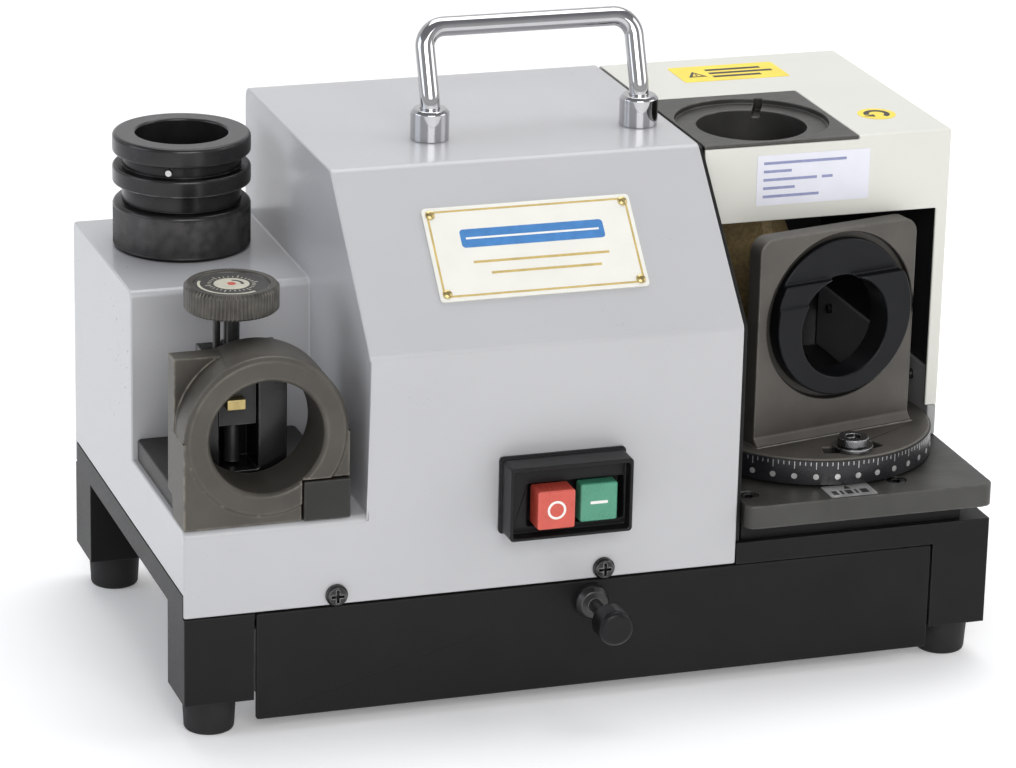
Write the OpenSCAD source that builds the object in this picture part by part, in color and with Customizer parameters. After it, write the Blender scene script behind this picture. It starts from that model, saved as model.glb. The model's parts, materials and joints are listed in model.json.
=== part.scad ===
// Bench drill bit sharpener: setting device on the left, motor in the middle,
// grinding wheel housing and swivelling point seat on the right.
// X runs left to right from the centre, Y runs back from the front panel, Z runs up from the bench.

/* [Overall] */
// Width over the base side panels
body_w = 320; // [320:1:326]
// Depth over the front and rear panels
body_d = 175; // [174:1:182]
// Thickness of the cover and hood sheet
skin = 1.8; // [1.5:0.1:2]

/* [Base and drawer] */
// Height of a rubber foot
foot_h = 14; // [12:1:16]
// Height of a leg below the side rail
leg_h = 33; // [32:1:36]
// Height of the side rail
rail_h = 10; // [10:1:12]
// Length of a leg along each side
leg_len = 25; // [24:1:26]
// Thickness of the base sheet
base_skin = 2; // [1.5:0.1:2]
// Left end of the drawer front
drawer_x0 = -132.6; // [-133:0.1:-132]
// Right end of the drawer front
drawer_x1 = 136; // [135.5:0.1:136.5]
// How far the drawer knob stands out
knob_reach = 31; // [28:1:34]

/* [Grey cover] */
// Left side of the tall part
tower_x0 = -90.3; // [-91:0.1:-90]
// Right side of the tall part
tower_x1 = 55.2; // [55:0.1:55.3]
// Height of the top
top_z = 199.1; // [198:0.1:200]
// Height where the front starts to slope
slope_z = 143.5; // [142:0.5:145]
// How far back the slope reaches
fold_y = 54.6; // [54:0.1:56]
// Height of the left deck
deck_z = 149.2; // [148:0.1:150]
// Height of the ledge that carries the setting device
ledge_z = 82.6; // [82:0.1:83]
// Depth of the notch above the ledge
notch_d = 80; // [80:0.5:81]

/* [Handle] */
// Half the distance between the handle legs
handle_half = 42; // [40:1:45]
// Distance of the handle legs behind the front panel
handle_y = 86; // [80:1:95]
// Radius of the handle bar
handle_r = 3.75; // [3.5:0.05:4]
// Backward lean of the handle in degrees
handle_tilt = 22; // [10:1:25]

/* [Switch] */
// Centre of the switch across the panel
switch_x = -15.6; // [-20:0.1:-10]
// Centre height of the switch
switch_z = 86; // [84:0.5:90]
// Travel of the two buttons
press = 3; // [2:0.5:3]

/* [Chuck] */
// Centre of the parked chuck across the deck
chuck_x = -126.2; // [-128:0.1:-124]
// Centre of the parked chuck behind the front panel
chuck_y = 135.2; // [132:0.1:138]
// Outer radius of the chuck
chuck_r = 26.65; // [26:0.05:27]
// Radius of the chuck nose
nose_r = 21.4; // [21.4:0.02:21.44]

/* [Setting device] */
// Centre of the ring seat
ring_x = -128.5; // [-128.6:0.1:-128.4]
// Height of the ring seat axis
ring_z = 116.2; // [116:0.1:117]
// Bore radius of the ring seat and of the top seat
seat_bore_r = 21.5; // [21.5:0.02:21.56]
// Dial axis across the machine
dial_x = -132.7; // [-133:0.1:-132.5]
// Dial axis behind the front panel
dial_y = 36; // [35.5:0.1:36.5]

/* [Wheel and point seat] */
// Table height
table_z = 73.2; // [73:0.1:73.6]
// Table thickness
table_t = 9.2; // [9:0.1:9.4]
// Swivel axis across the machine
pivot_x = 105.3; // [105:0.1:105.5]
// Swivel axis behind the front panel
pivot_y = 54.5; // [54:0.1:55]
// Radius of the half disc
disc_r = 47.3; // [47:0.1:47.4]
// Turn of the point seat at rest in degrees
swivel_rest = 12; // [11:0.5:13]
// Height of the point seat axis
point_z = 128; // [127.5:0.1:129]
// Bore radius of the point seat
point_bore_r = 19.8; // [19.6:0.05:20]
// Motor and wheel axis behind the front panel
spindle_y = 94; // [93:0.5:95]
// Motor and wheel axis height
spindle_z = 133.7; // [133:0.1:134]
// Centre of the grinding wheel across the machine
wheel_x = 89; // [88:0.5:89]
// Radius of the grinding wheel
wheel_r = 39; // [38:0.5:39]
// Half angle of the drill point at rest in degrees
point_half = 59; // [58:0.5:60]

/* [Hidden] */
$fn = 64;
rear_reach = 3;
front_y = (knob_reach - body_d - rear_reach) / 2;
half_w = body_w / 2;
leg_z = foot_h;
rail_z = leg_z + leg_h;
base_top = rail_z + rail_h;
flap_z = 48.7;
gap = 0.2;
run_fit = 0.05;
slope_angle = atan2(top_z - slope_z, fold_y);
hood_x0 = tower_x1 + 2;
hood_x1 = 158.6;
hood_y = 52.3;
hood_top = top_z - 0.7;
band_z = 166.9;
column_w = 4.8;
hood_bottom = 85.7;
foot_inset = leg_len / 2;
foot_r = 10;
screw_holes_x = [-102.3, 2];
cover_screw_z = 52.7;
plate_w = 81.4;
plate_h = 38.8;
plate_x = -18.7;
plate_s = 39.2;
rivet_inset = 3;
chuck_h = 45;
nut_h = 18.4;
dial_r = 17.6;
dial_z = 155.1;
dial_h = 9.8;
post_top = 139;
plate_front = -18.2;
plate_back = -10.2;
plate_left = -37.7;
plate_right = 34.4;
ring_rise = 3.7;
disc_top = table_z + 11;
plate_top = 166.6;
clamp_r = 37;
clamp_lean = 5.5;
wheel_half = 14;
wheel_land = 2;
shaft_r = 7.5;
motor_r = 55;
motor_x0 = -62;
motor_x1 = 38;
cap_t = 8;
bearing_r = 17.5;
bearing_w = 11;
top_seat_x0 = tower_x1 + 1.8;
top_seat_x1 = 120.2;
top_seat_y1 = 119.3;
top_axis_x = 88;
top_axis_y = 83.6;

// ---- shared shapes ----

// Points of a fillet of radius r at corner b between neighbours a and c
function corner_arc(a, b, c, r, steps = 5) =
    let(u = (a - b) / norm(a - b), v = (c - b) / norm(c - b), half = acos(u * v) / 2)
    let(centre = b + (u + v) / norm(u + v) * r / sin(half))
    let(p = b + u * r / tan(half), q = b + v * r / tan(half))
    let(from = atan2(p.y - centre.y, p.x - centre.x), to = atan2(q.y - centre.y, q.x - centre.x))
    let(sweep = (to - from + 540) % 360 - 180)
    r <= 0 ? [b] : [for (i = [0:steps]) let(a = from + sweep * i / steps) centre + r * [cos(a), sin(a)]];

// Outline with corner i rounded to radii[i]
function rounded(points, radii) =
    let(n = len(points))
    [for (i = [0:n - 1]) each corner_arc(points[(i + n - 1) % n], points[i], points[(i + 1) % n], radii[i])];

function rectangle(x0, y0, x1, y1) = [[x0, y0], [x1, y0], [x1, y1], [x0, y1]];

// Moves a piece from the front-panel datum to the origin at the centre of the footprint
module on_machine() {
    translate([0, front_y, 0]) children();
}

// Box between two corners
module block(low, high) {
    translate(low) cube(high - low);
}

// Extrudes an outline drawn in Y and Z from x0 to x1
module along_x(x0, x1) {
    translate([x0, 0, 0]) rotate([90, 0, 90]) linear_extrude(x1 - x0) children();
}

// Extrudes an outline drawn in X and Z from y0 back to y1
module along_y(y0, y1) {
    translate([0, y1, 0]) rotate([90, 0, 0]) linear_extrude(y1 - y0) children();
}

// Extrudes an outline drawn in X and Y from z0 up to z1
module along_z(z0, z1) {
    translate([0, 0, z0]) linear_extrude(z1 - z0) children();
}

// Cylinder along X
module rod_x(x0, x1, y, z, r) {
    translate([x0, y, z]) rotate([0, 90, 0]) cylinder(h = x1 - x0, r = r);
}

// Cylinder along Y
module rod_y(x, y0, y1, z, r) {
    translate([x, y1, z]) rotate([90, 0, 0]) cylinder(h = y1 - y0, r = r);
}

// Cylinder along Z
module rod_z(x, y, z0, z1, r) {
    translate([x, y, z0]) cylinder(h = z1 - z0, r = r);
}

// Ring along Z, its axis through the origin
module washer_ring(z0, z1, r_out, r_in) {
    difference() {
        rod_z(0, 0, z0, z1, r_out);
        rod_z(0, 0, z0 - 1, z1 + 1, r_in);
    }
}

// Ring along X about the motor axis
module spindle_ring(x0, x1, r_out, r_in) {
    difference() {
        rod_x(x0, x1, spindle_y, spindle_z, r_out);
        rod_x(x0 - 1, x1 + 1, spindle_y, spindle_z, r_in);
    }
}

// Pan-head screw pointing down Z, head seated at z = 0, with a cross recess
module pan_screw(head_r, head_h, shank_r, length) {
    difference() {
        union() {
            rotate_extrude() polygon([[0, 0], [head_r, 0], [head_r, head_h * 0.45],
                [head_r * 0.8, head_h * 0.85], [head_r * 0.45, head_h], [0, head_h]]);
            rod_z(0, 0, -length, 0.1, shank_r);
        }
        for (turn = [0, 90]) rotate(turn) block([-head_r * 0.6, -head_r * 0.13, head_h * 0.45],
            [head_r * 0.6, head_r * 0.13, head_h + 1]);
    }
}

// Socket-head cap screw pointing down Z, head seated at z = 0
module cap_screw(head_r, head_h, shank_r, length) {
    difference() {
        union() {
            rod_z(0, 0, 0, head_h, head_r);
            rod_z(0, 0, -length, 0.1, shank_r);
        }
        translate([0, 0, head_h * 0.45]) cylinder(h = head_h, r = head_r * 0.55, $fn = 6);
    }
}

// ---- base and drawer ----

module at_feet() {
    for (x = [-half_w + foot_inset, half_w - foot_inset], y = [foot_inset, body_d - foot_inset])
        translate([x, y, 0]) children();
}

module base_pan() {
    joggle = tower_x1 + 0.3;
    wall_z = flap_z - 2 * gap;
    strip_lap = 3;
    color("#2a2a28") on_machine() difference() {
        union() {
            difference() {
                block([-half_w, 0, leg_z], [half_w, body_d, base_top]);
                block([-half_w + base_skin, base_skin, leg_z + base_skin],
                    [half_w - base_skin, body_d - base_skin, base_top - base_skin]);
                block([leg_len - half_w, base_skin, leg_z - 1],
                    [half_w - leg_len, body_d - base_skin, base_top - base_skin]);
                block([-half_w + base_skin, leg_len, leg_z - 1],
                    [half_w - base_skin, body_d - leg_len, base_top - base_skin]);
                block([drawer_x0 - 0.8, -1, leg_z - 1], [drawer_x1 + 0.8, base_skin + 1, wall_z]);
                block([leg_len - half_w, body_d - base_skin - 1, leg_z - 1],
                    [half_w - leg_len, body_d + 1, rail_z]);
                block([-half_w - 1, leg_len, leg_z - 1], [half_w + 1, body_d - leg_len, rail_z]);
                block([-half_w - 1, -1, wall_z], [joggle, base_skin, base_top + 1]);
                block([-half_w - 1, body_d - base_skin, wall_z], [joggle, body_d + 1, base_top + 1]);
            }
            block([-half_w, base_skin, wall_z - strip_lap], [joggle + strip_lap, 2 * base_skin, base_top]);
            block([-half_w, body_d - 2 * base_skin, wall_z - strip_lap],
                [joggle + strip_lap, body_d - base_skin, base_top]);
            for (y = [leg_len - base_skin, body_d - leg_len]) {
                block([1 - half_w, y, leg_z + 0.5], [drawer_x0 - 3.4, y + base_skin, base_top - 1]);
                block([drawer_x1 + 4, y, leg_z + 0.5], [half_w - 1, y + base_skin, base_top - 1]);
            }
            block([drawer_x0 - 3.2, 1, leg_z + 0.5], [drawer_x0 - 1.2, 7.5, wall_z - 0.5]);
            block([drawer_x1 + 1.2, 1, leg_z + 0.5], [drawer_x1 + 3.2, 7.5, wall_z - 0.5]);
        }
        at_feet() rod_z(0, 0, leg_z - 1, leg_z + base_skin + 1, 2.55);
        for (x = screw_holes_x) rod_y(x, -1, 2 * base_skin + 1, cover_screw_z, 2.1);
        for (x = screw_holes_x) rod_y(x, body_d - 2 * base_skin - 1, body_d + 1, cover_screw_z, 2.1);
        block([wheel_x - 20, 75, base_top - base_skin - 1], [wheel_x + 20, 125, base_top + 1]);
    }
}

module rubber_feet() {
    color("#1c1c1c") on_machine() at_feet() difference() {
        rotate_extrude() polygon([[0, 0], [8.6, 0], [9.4, 0.8], [foot_r, foot_h - 3], [foot_r, foot_h],
            [0, foot_h]]);
        rod_z(0, 0, -1, 6, 5.5);
        rod_z(0, 0, 0, foot_h + 1, 2.6);
    }
}

module foot_screws() {
    color("#8f9194") on_machine() at_feet() translate([0, 0, 6]) mirror([0, 0, 1])
        pan_screw(4.6, 3.2, 2.5, foot_h - 6 + base_skin + 2);
}

tray_x0 = drawer_x0 + 5;
tray_x1 = drawer_x1 - 5;
tray_back = 132;
tray_top = 42;
tray_bottom = 8;
tray_t = 1.2;
knob_x = -2.8;
knob_z = 40.1;

module drawer_tray() {
    color("#3a3b3c") on_machine() difference() {
        union() {
            block([tray_x0, base_skin, tray_bottom], [tray_x1, tray_back, tray_top]);
            block([drawer_x0 + 0.4, base_skin + 3, tray_top - tray_t], [drawer_x1 - 0.4, tray_back, tray_top]);
        }
        block([tray_x0 + tray_t, base_skin + tray_t, tray_bottom + tray_t],
            [tray_x1 - tray_t, tray_back - tray_t, tray_top + 1]);
        rod_y(knob_x, 0, 6, knob_z, 2.65);
    }
}

module drawer_front() {
    color("#2b2b29") on_machine() difference() {
        along_y(0, base_skin) polygon(rounded(rectangle(drawer_x0, 6, drawer_x1, flap_z - 0.7), [1, 1, 1, 1]));
        rod_y(knob_x, -1, base_skin + 1, knob_z, 2.65);
    }
}

module drawer_knob() {
    color("#191919") on_machine() translate([knob_x, 0, knob_z]) rotate([90, 0, 0]) difference() {
        rotate_extrude() polygon(concat([[0, 20], [5, 20]],
            rounded([[6.9, 20], [6.9, knob_reach], [0, knob_reach], [0, 21]], [1.5, 2.5, 0, 0])));
        rod_z(0, 0, 19, 26, 2.6);
    }
}

module drawer_knob_stud() {
    color("#c9cbce") on_machine() translate([knob_x, 0, knob_z]) rotate([90, 0, 0]) union() {
        rod_z(0, 0, -8, 25.5, 2.55);
        rotate_extrude() polygon([[2.5, 0.05], [6.7, 0.05], [6.7, 3], [5.2, 5.2], [2.5, 5.6]]);
        rod_z(0, 0, -6.5, -3.3, 5);
    }
}

module drawer_runners() {
    color("#6e7073") on_machine() for (side = [-1, 1]) {
        wall = side < 0 ? drawer_x0 - 1.5 : drawer_x1 + 1.5;
        hollow = side < 0 ? tray_x0 - 0.5 : tray_x1 + 0.5;
        outside = wall + side * 1.5;
        block([min(wall, outside), 8, tray_top - 3.2], [max(wall, outside), 160, base_top - base_skin]);
        block([min(wall, hollow), 8, tray_top - 3.2], [max(wall, hollow), 160, tray_top - tray_t - 0.5]);
    }
}

// ---- grey cover ----

// Side outline of the tall part, moved inwards by t
function tower_outline(t, low) = rounded([[t, low], [t, slope_z - t * tan(45 - slope_angle / 2)],
    [fold_y + t * tan(slope_angle / 2), top_z - t], [body_d - t, top_z - t], [body_d - t, low]],
    [0, 4 - t, 4 - t, 4 - t, 0]);

// Side outline of the low left part with its notch, moved inwards by t
function deck_outline(t, low) = rounded([[t, low], [t, ledge_z - t], [notch_d + t, ledge_z - t],
    [notch_d + t, deck_z - t], [body_d - t, deck_z - t], [body_d - t, low]], [0, 3 - t, 0, 3 - t, 3 - t, 0]);

module on_slope() {
    translate([plate_x, 0, slope_z]) rotate([slope_angle, 0, 0]) translate([0, plate_s, 0]) children();
}

module at_rivets() {
    for (x = [-1, 1], y = [-1, 1])
        translate([x * (plate_w / 2 - rivet_inset), y * (plate_h / 2 - rivet_inset), 0]) children();
}

module gray_cover() {
    vents = 9;
    color("#c3c4c9") on_machine() difference() {
        union() {
            along_x(tower_x0, tower_x1) polygon(tower_outline(0, flap_z));
            along_x(-half_w, tower_x0 + 1) polygon(deck_outline(0, flap_z));
        }
        along_x(tower_x0 + skin, tower_x1 + 1) polygon(tower_outline(skin, flap_z - 1));
        along_x(-half_w + skin, tower_x0 + skin + 1) polygon(deck_outline(skin, flap_z - 1));
        block([-half_w - 1, skin, flap_z - 1], [tower_x1 + 1, body_d - skin, base_top + gap]);
        block([switch_x - 21.5, -1, switch_z - 12.5], [switch_x + 21.5, skin + 1, switch_z + 12.5]);
        for (x = screw_holes_x) rod_y(x, -1, skin + 1, cover_screw_z, 2.2);
        for (x = screw_holes_x) rod_y(x, body_d - skin - 1, body_d + 1, cover_screw_z, 2.2);
        for (x = [-1, 1]) rod_z(x * handle_half, handle_y, top_z - 5, top_z + 1, 2.6);
        rod_z(chuck_x, chuck_y, deck_z - 5, deck_z + 1, seat_bore_r + 3.1);
        for (x = setting_screw_x) rod_z(x, setting_screw_y, ledge_z - 5, ledge_z + 1, 2.1);
        on_slope() at_rivets() rod_z(0, 0, -5, 1, 1.3);
        for (i = [0:vents - 1]) block([-64 + i * 12, body_d - skin - 1, 120], [-58 + i * 12, body_d + 1, 160]);
        block([inlet_x - 14.2, body_d - skin - 1, inlet_z - 10.2],
            [inlet_x + 14.2, body_d + 1, inlet_z + 10.2]);
    }
}

module cover_screws() {
    color("#9a9c9f") on_machine() for (x = screw_holes_x) {
        translate([x, 0, cover_screw_z]) rotate([90, 0, 0]) pan_screw(4.2, 2.6, 2, 7);
        translate([x, body_d, cover_screw_z]) rotate([-90, 0, 0]) pan_screw(4.2, 2.6, 2, 7);
    }
}

handle_bend = 14;
handle_corner = 8;
handle_rise = 25;
collar_h = 12;

module handle_bar() {
    bend_r = handle_r + 0.02;
    bend_z = collar_h + 0.2;
    lap = 0.4;
    leg_end = handle_rise - handle_corner;
    bar_half = handle_half - handle_corner;
    color("#d8dadc") on_machine() translate([0, handle_y, top_z]) {
        for (x = [-handle_half, handle_half]) {
            rod_z(x, 0, 0.6, bend_z + lap, handle_r);
            translate([x, handle_bend, bend_z]) rotate([90, 0, -90]) rotate_extrude(angle = handle_tilt)
                translate([handle_bend, 0]) circle(r = bend_r);
        }
        translate([0, handle_bend, bend_z]) rotate([-handle_tilt, 0, 0]) translate([0, -handle_bend, 0]) {
            for (x = [-handle_half, handle_half]) rod_z(x, 0, -lap, leg_end + lap, handle_r);
            for (side = [-1, 1]) translate([side * bar_half, 0, leg_end]) rotate([90, 0, 0])
                rotate(side < 0 ? 90 : 0) rotate_extrude(angle = 90)
                    translate([handle_corner, 0]) circle(r = bend_r);
            rod_x(-bar_half - lap, bar_half + lap, 0, handle_rise, handle_r);
        }
    }
}

module handle_collars() {
    color("#d0d2d4") on_machine() for (x = [-handle_half, handle_half]) translate([x, handle_y, top_z])
        difference() {
            rotate_extrude() polygon([[0, 0], [7.45, 0], [7.45, collar_h - 1.2], [6.3, collar_h],
                [0, collar_h]]);
            rod_z(0, 0, 0.5, collar_h + 1, handle_r + run_fit);
            rod_z(0, 0, -1, 1, 2.5);
        }
}

module nameplate() {
    color("#ece9dc") on_machine() on_slope() difference() {
        translate([0, 0, 0.02]) linear_extrude(0.9) polygon(rounded(rectangle(-plate_w / 2, -plate_h / 2,
            plate_w / 2, plate_h / 2), [1.5, 1.5, 1.5, 1.5]));
        at_rivets() rod_z(0, 0, -1, 2, 1.3);
    }
}

module nameplate_rivets() {
    color("#c8b878") on_machine() on_slope() at_rivets() rotate_extrude()
        polygon([[0, -3], [1.2, -3], [1.2, 0.95], [1.9, 0.95], [1.6, 1.5], [0.9, 1.8], [0, 1.8]]);
}

// ---- switch ----

button_w = 14.6;
button_h = 15;
button_z = switch_z - 2.2;
stop_x = switch_x - 6.9;
start_x = switch_x + 11;
bezel_depth = 13;

module switch_bezel() {
    color("#232323") on_machine() difference() {
        union() {
            along_y(-2, 0) polygon(rounded(rectangle(switch_x - 24.7, switch_z - 15.1, switch_x + 24.7,
                switch_z + 15.1), [1.5, 1.5, 1.5, 1.5]));
            along_y(-bezel_depth, -1) polygon(rounded(rectangle(switch_x - 23.9, switch_z - 14.4,
                switch_x + 23.9, switch_z + 14.4), [1.5, 1.5, 1.5, 1.5]));
            block([switch_x - 21.2, -1, switch_z - 12.2], [switch_x + 21.2, skin + 0.2, switch_z + 12.2]);
        }
        along_y(-bezel_depth - 1, -bezel_depth + 5) polygon(rounded(rectangle(switch_x - 22.6, switch_z - 13.1,
            switch_x + 22.6, switch_z + 12.6), [1, 1, 1, 1]));
        block([stop_x - button_w / 2 - 1.6, -bezel_depth - 1, button_z - button_h / 2 - 0.8],
            [start_x + button_w / 2 + 3.4, -2, button_z + button_h / 2 + 0.8]);
        for (x = [stop_x, start_x]) block([x - 3.3, -3, button_z - 3.3], [x + 3.3, 4, button_z + 3.3]);
    }
}

// A push button: cap from cap_front back to the stem, the stem runs into the contact block
module button_shape(x, cap_front) {
    along_y(cap_front, -5.5) polygon(rounded(rectangle(x - button_w / 2, button_z - button_h / 2,
        x + button_w / 2, button_z + button_h / 2), [1, 1, 1, 1]));
    block([x - 3, -6, button_z - 3], [x + 3, 9, button_z + 3]);
}

module stop_button() {
    color("#cf4a3f") on_machine() button_shape(stop_x, -15.5);
}

module start_button() {
    color("#4f9c7c") on_machine() button_shape(start_x, -11.5);
}

module switch_block() {
    color("#303030") on_machine() difference() {
        union() {
            block([switch_x - 20.5, skin + 0.3, switch_z - 12], [switch_x + 20.5, 27, switch_z + 12]);
            for (x = [-12, 0, 12], z = [-6, 6]) block([switch_x + x - 3.1, 26, switch_z + z - 0.4],
                [switch_x + x + 3.1, 34, switch_z + z + 0.4]);
        }
        for (x = [stop_x, start_x])
            block([x - 3.2, 0, button_z - 3.2], [x + 3.2, 9.5 + press, button_z + 3.2]);
    }
}

// ---- chuck ----

module at_chuck() {
    translate([chuck_x, chuck_y, deck_z]) children();
}

module chuck_bush() {
    color("#5a5a58") on_machine() at_chuck() difference() {
        union() {
            rod_z(0, 0, -24, 0, seat_bore_r + 3);
            rod_z(0, 0, -skin - 3, -skin - 0.05, 30);
        }
        rod_z(0, 0, -25, 1, seat_bore_r);
    }
}

core_r = 22;
pin_turn = -116;

module chuck_body() {
    tier_2 = nut_h + 7.8;
    tier_1 = tier_2 + 11.2;
    color("#242424") on_machine() at_chuck() difference() {
        rotate_extrude() polygon(concat([[14.1, -18], [nose_r - 1, -18], [nose_r, -17], [nose_r, 0.05],
            [core_r, 0.05], [core_r, nut_h + 0.2], [core_r + 1, nut_h + 0.2], [core_r + 1, tier_2]],
            rounded([[chuck_r, tier_2], [chuck_r, tier_2 + 6.4], [core_r + 1, tier_2 + 6.4], [core_r + 1, tier_1],
            [chuck_r, tier_1], [chuck_r, chuck_h], [17.8, chuck_h], [17.8, 1], [14.1, 1]],
            [1.2, 1.2, 0, 0, 1.2, 1.6, 1, 0, 0])));
        rotate(pin_turn) rod_x(core_r - 2, core_r + 4, 0, tier_1 - 2.4, 1.25);
    }
}

module chuck_nut() {
    color("#2c2c2b") on_machine() at_chuck() rotate_extrude() polygon(rounded([[core_r + 0.1, 0.15],
        [chuck_r, 0.15], [chuck_r, nut_h], [core_r + 0.1, nut_h]], [0, 1, 1.4, 0]));
}

module chuck_collet() {
    color("#4a4a4a") on_machine() at_chuck() difference() {
        rotate_extrude() polygon([[6.6, -17.5], [14, -17.5], [14, 1.1], [17.7, 1.1], [17.7, 26], [15, 29],
            [6.6, 29]]);
        for (turn = [0, 60, 120]) rotate(turn) block([-18.5, -0.6, 2], [18.5, 0.6, 30]);
    }
}

module chuck_pin() {
    color("#b9bbbe") on_machine() at_chuck() rotate(pin_turn) rod_x(core_r - 1.9, chuck_r - 2, 0,
        nut_h + 7.8 + 11.2 - 2.4, 1.2);
}

// ---- setting device ----

base_plate_z = ledge_z + 8.4;
setting_screw_x = [-143, -110];
setting_screw_y = 62;
slide_x0 = dial_x - 7.2;
slide_x1 = dial_x + 7.6;
slide_low = 112;
slide_high = 128;
dial_screw_r = 3;

module setting_base() {
    color("#33322e") on_machine() difference() {
        along_z(ledge_z + 0.1, base_plate_z) polygon(rounded(rectangle(-158, 18.2, -96, notch_d - gap),
            [0, 0, 2, 2]));
        for (x = setting_screw_x) rod_z(x, setting_screw_y, ledge_z - 1, base_plate_z + 1, 2.1);
    }
}

module setting_seat() {
    color("#565349") on_machine() difference() {
        union() {
            translate([ring_x, 0, ring_z]) rotate([-90, 0, 0]) rotate_extrude()
                polygon([[0, 0], [29.4, 0], [31, 1.6], [31, 24], [0, 24]]);
            block([ring_x - 31.3, 0.9, ledge_z + 0.1], [ring_x + 31.3, 18, ring_z]);
            block([ring_x - 31.3, 10, base_plate_z + 0.1], [ring_x + 31.3, 24, ring_z]);
            block([ring_x - 31.3, 15, ring_z - 5], [ring_x + 4, 24, 144]);
        }
        rod_y(ring_x, -1, 25, ring_z, seat_bore_r);
        seat_mouth();
        block([-115.4, -1, ledge_z - 1], [-90, 6.6, 98.7]);
        block([ring_x - 40, 18.1, ledge_z - 1], [ring_x + 40, 25, base_plate_z + 0.1]);
    }
}

// Chamfer at the mouth of the ring seat
module seat_mouth() {
    translate([ring_x, 0, ring_z]) rotate([90, 0, 0]) translate([0, 0, -1.2]) cylinder(h = 1.4,
        r1 = seat_bore_r, r2 = seat_bore_r + 1.4);
}

module setting_post() {
    color("#2a2927") on_machine() difference() {
        block([slide_x0 - 4, 26, base_plate_z + 0.1], [slide_x1 + 11, 46, post_top]);
        block([slide_x0, 25, base_plate_z + 4], [slide_x1, 42, post_top - 5]);
        rod_z(dial_x, dial_y, post_top - 6, post_top + 1, dial_screw_r + 0.08);
        rod_z(dial_x - 5.7, dial_y, post_top - 6, post_top + 1, 1.45);
    }
}

module gauge_slide() {
    color("#3c3b38") on_machine() difference() {
        block([slide_x0 + 0.1, 28, slide_low], [slide_x1 - 0.1, 41.9, slide_high]);
        rod_z(dial_x, dial_y, slide_low - 1, slide_high + 1, dial_screw_r + 0.08);
    }
}

module gauge_tip() {
    color("#b59a5a") on_machine() block([dial_x - 4.4, 25, 119], [dial_x + 2.6, 28, 123]);
}

module dial_knob() {
    grips = 24;
    color("#34332f") on_machine() translate([dial_x, dial_y, dial_z]) difference() {
        rotate_extrude() polygon(rounded([[0, 0], [dial_r, 0], [dial_r, dial_h], [dial_r - 3.4, dial_h],
            [dial_r - 3.9, dial_h - 0.8], [0, dial_h - 0.8]], [0, 1.2, 1, 0, 0, 0]));
        rod_z(0, 0, -1, 6, dial_screw_r + 0.02);
        for (i = [0:grips - 1]) rotate(i * 360 / grips) translate([dial_r + 0.5, 0, -1])
            cylinder(h = 20, r = 1, $fn = 16);
    }
}

module dial_screw() {
    color("#3a3a3a") on_machine() {
        rod_z(dial_x, dial_y, base_plate_z + 5, dial_z + 5.9, dial_screw_r);
        difference() {
            rod_z(dial_x, dial_y, post_top + 0.1, post_top + 3, 4.1);
            rod_z(dial_x, dial_y, post_top, post_top + 4, dial_screw_r - 0.1);
        }
    }
}

module guide_pin() {
    color("#a8aaac") on_machine() rod_z(dial_x - 5.7, dial_y, slide_high + 0.5, dial_z - 0.2, 1.4);
}

module setting_stop() {
    color("#4b483f") on_machine() block([-114.9, -0.4, ledge_z + 0.3], [-97.2, 6.5, 98.2]);
}

module setting_screws() {
    color("#222222") on_machine() for (x = setting_screw_x) translate([x, setting_screw_y, base_plate_z + 0.02])
        cap_screw(3.5, 4, 2, 12);
}

// ---- wheel housing ----

module partition_plate() {
    color("#1f1f1e") on_machine() difference() {
        along_x(tower_x1 + 0.2, hood_x0 - 0.3) polygon(tower_outline(1.2, base_top + 0.2));
        rod_x(tower_x1 - 1, hood_x0 + 1, spindle_y, spindle_z, 20);
    }
}

module white_hood() {
    roof_corner = [top_seat_x1 + 0.2, top_seat_y1 + 0.2, hood_top + 1];
    color("#e6e5dc") on_machine() difference() {
        along_x(hood_x0, hood_x1) polygon(rounded([[hood_y, hood_bottom], [hood_y, hood_top],
            [body_d, hood_top], [body_d, base_top + 0.3], [body_d - skin - 0.5, base_top + 0.3],
            [body_d - skin - 0.5, hood_bottom]],
            [0, 1.2, 2.5, 0, 0, 0]));
        along_x(hood_x0 - 1, hood_x1 - skin) polygon(rectangle(hood_y + skin, base_top - 1, body_d - skin,
            hood_top - skin));
        block([hood_x0 - 1, hood_y - 1, hood_bottom - 1], [hood_x1 - column_w, hood_y + skin + 1, band_z]);
        block([hood_x0 - 1, hood_y - 1, hood_top - 1.5], roof_corner);
        block([hood_x0 - 1, hood_y + skin, hood_top - skin - 1], roof_corner);
        for (y = hood_screw_y) rod_x(hood_x1 - skin - 1, hood_x1 + 1, y, hood_screw_z, 2.1);
    }
}

hood_screw_y = [70, 155];
hood_screw_z = 93;
foot_t = 3.7;

module hood_foot() {
    color("#8d8f90") on_machine() difference() {
        union() {
            block([hood_x1 - foot_t, hood_y, table_z + 0.05], [hood_x1, 168, hood_bottom - 0.2]);
            block([hood_x1 - foot_t, hood_y + 3, table_z + 5], [hood_x1 - skin - 0.1, 168, 100]);
        }
        for (y = hood_screw_y) rod_x(hood_x1 - foot_t - 1, hood_x1 + 1, y, hood_screw_z, 2.1);
    }
}

module hood_screws() {
    color("#9a9c9f") on_machine() for (y = hood_screw_y) translate([hood_x1, y, hood_screw_z])
        rotate([0, 90, 0]) pan_screw(4, 1.3, 2, 5);
}

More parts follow.
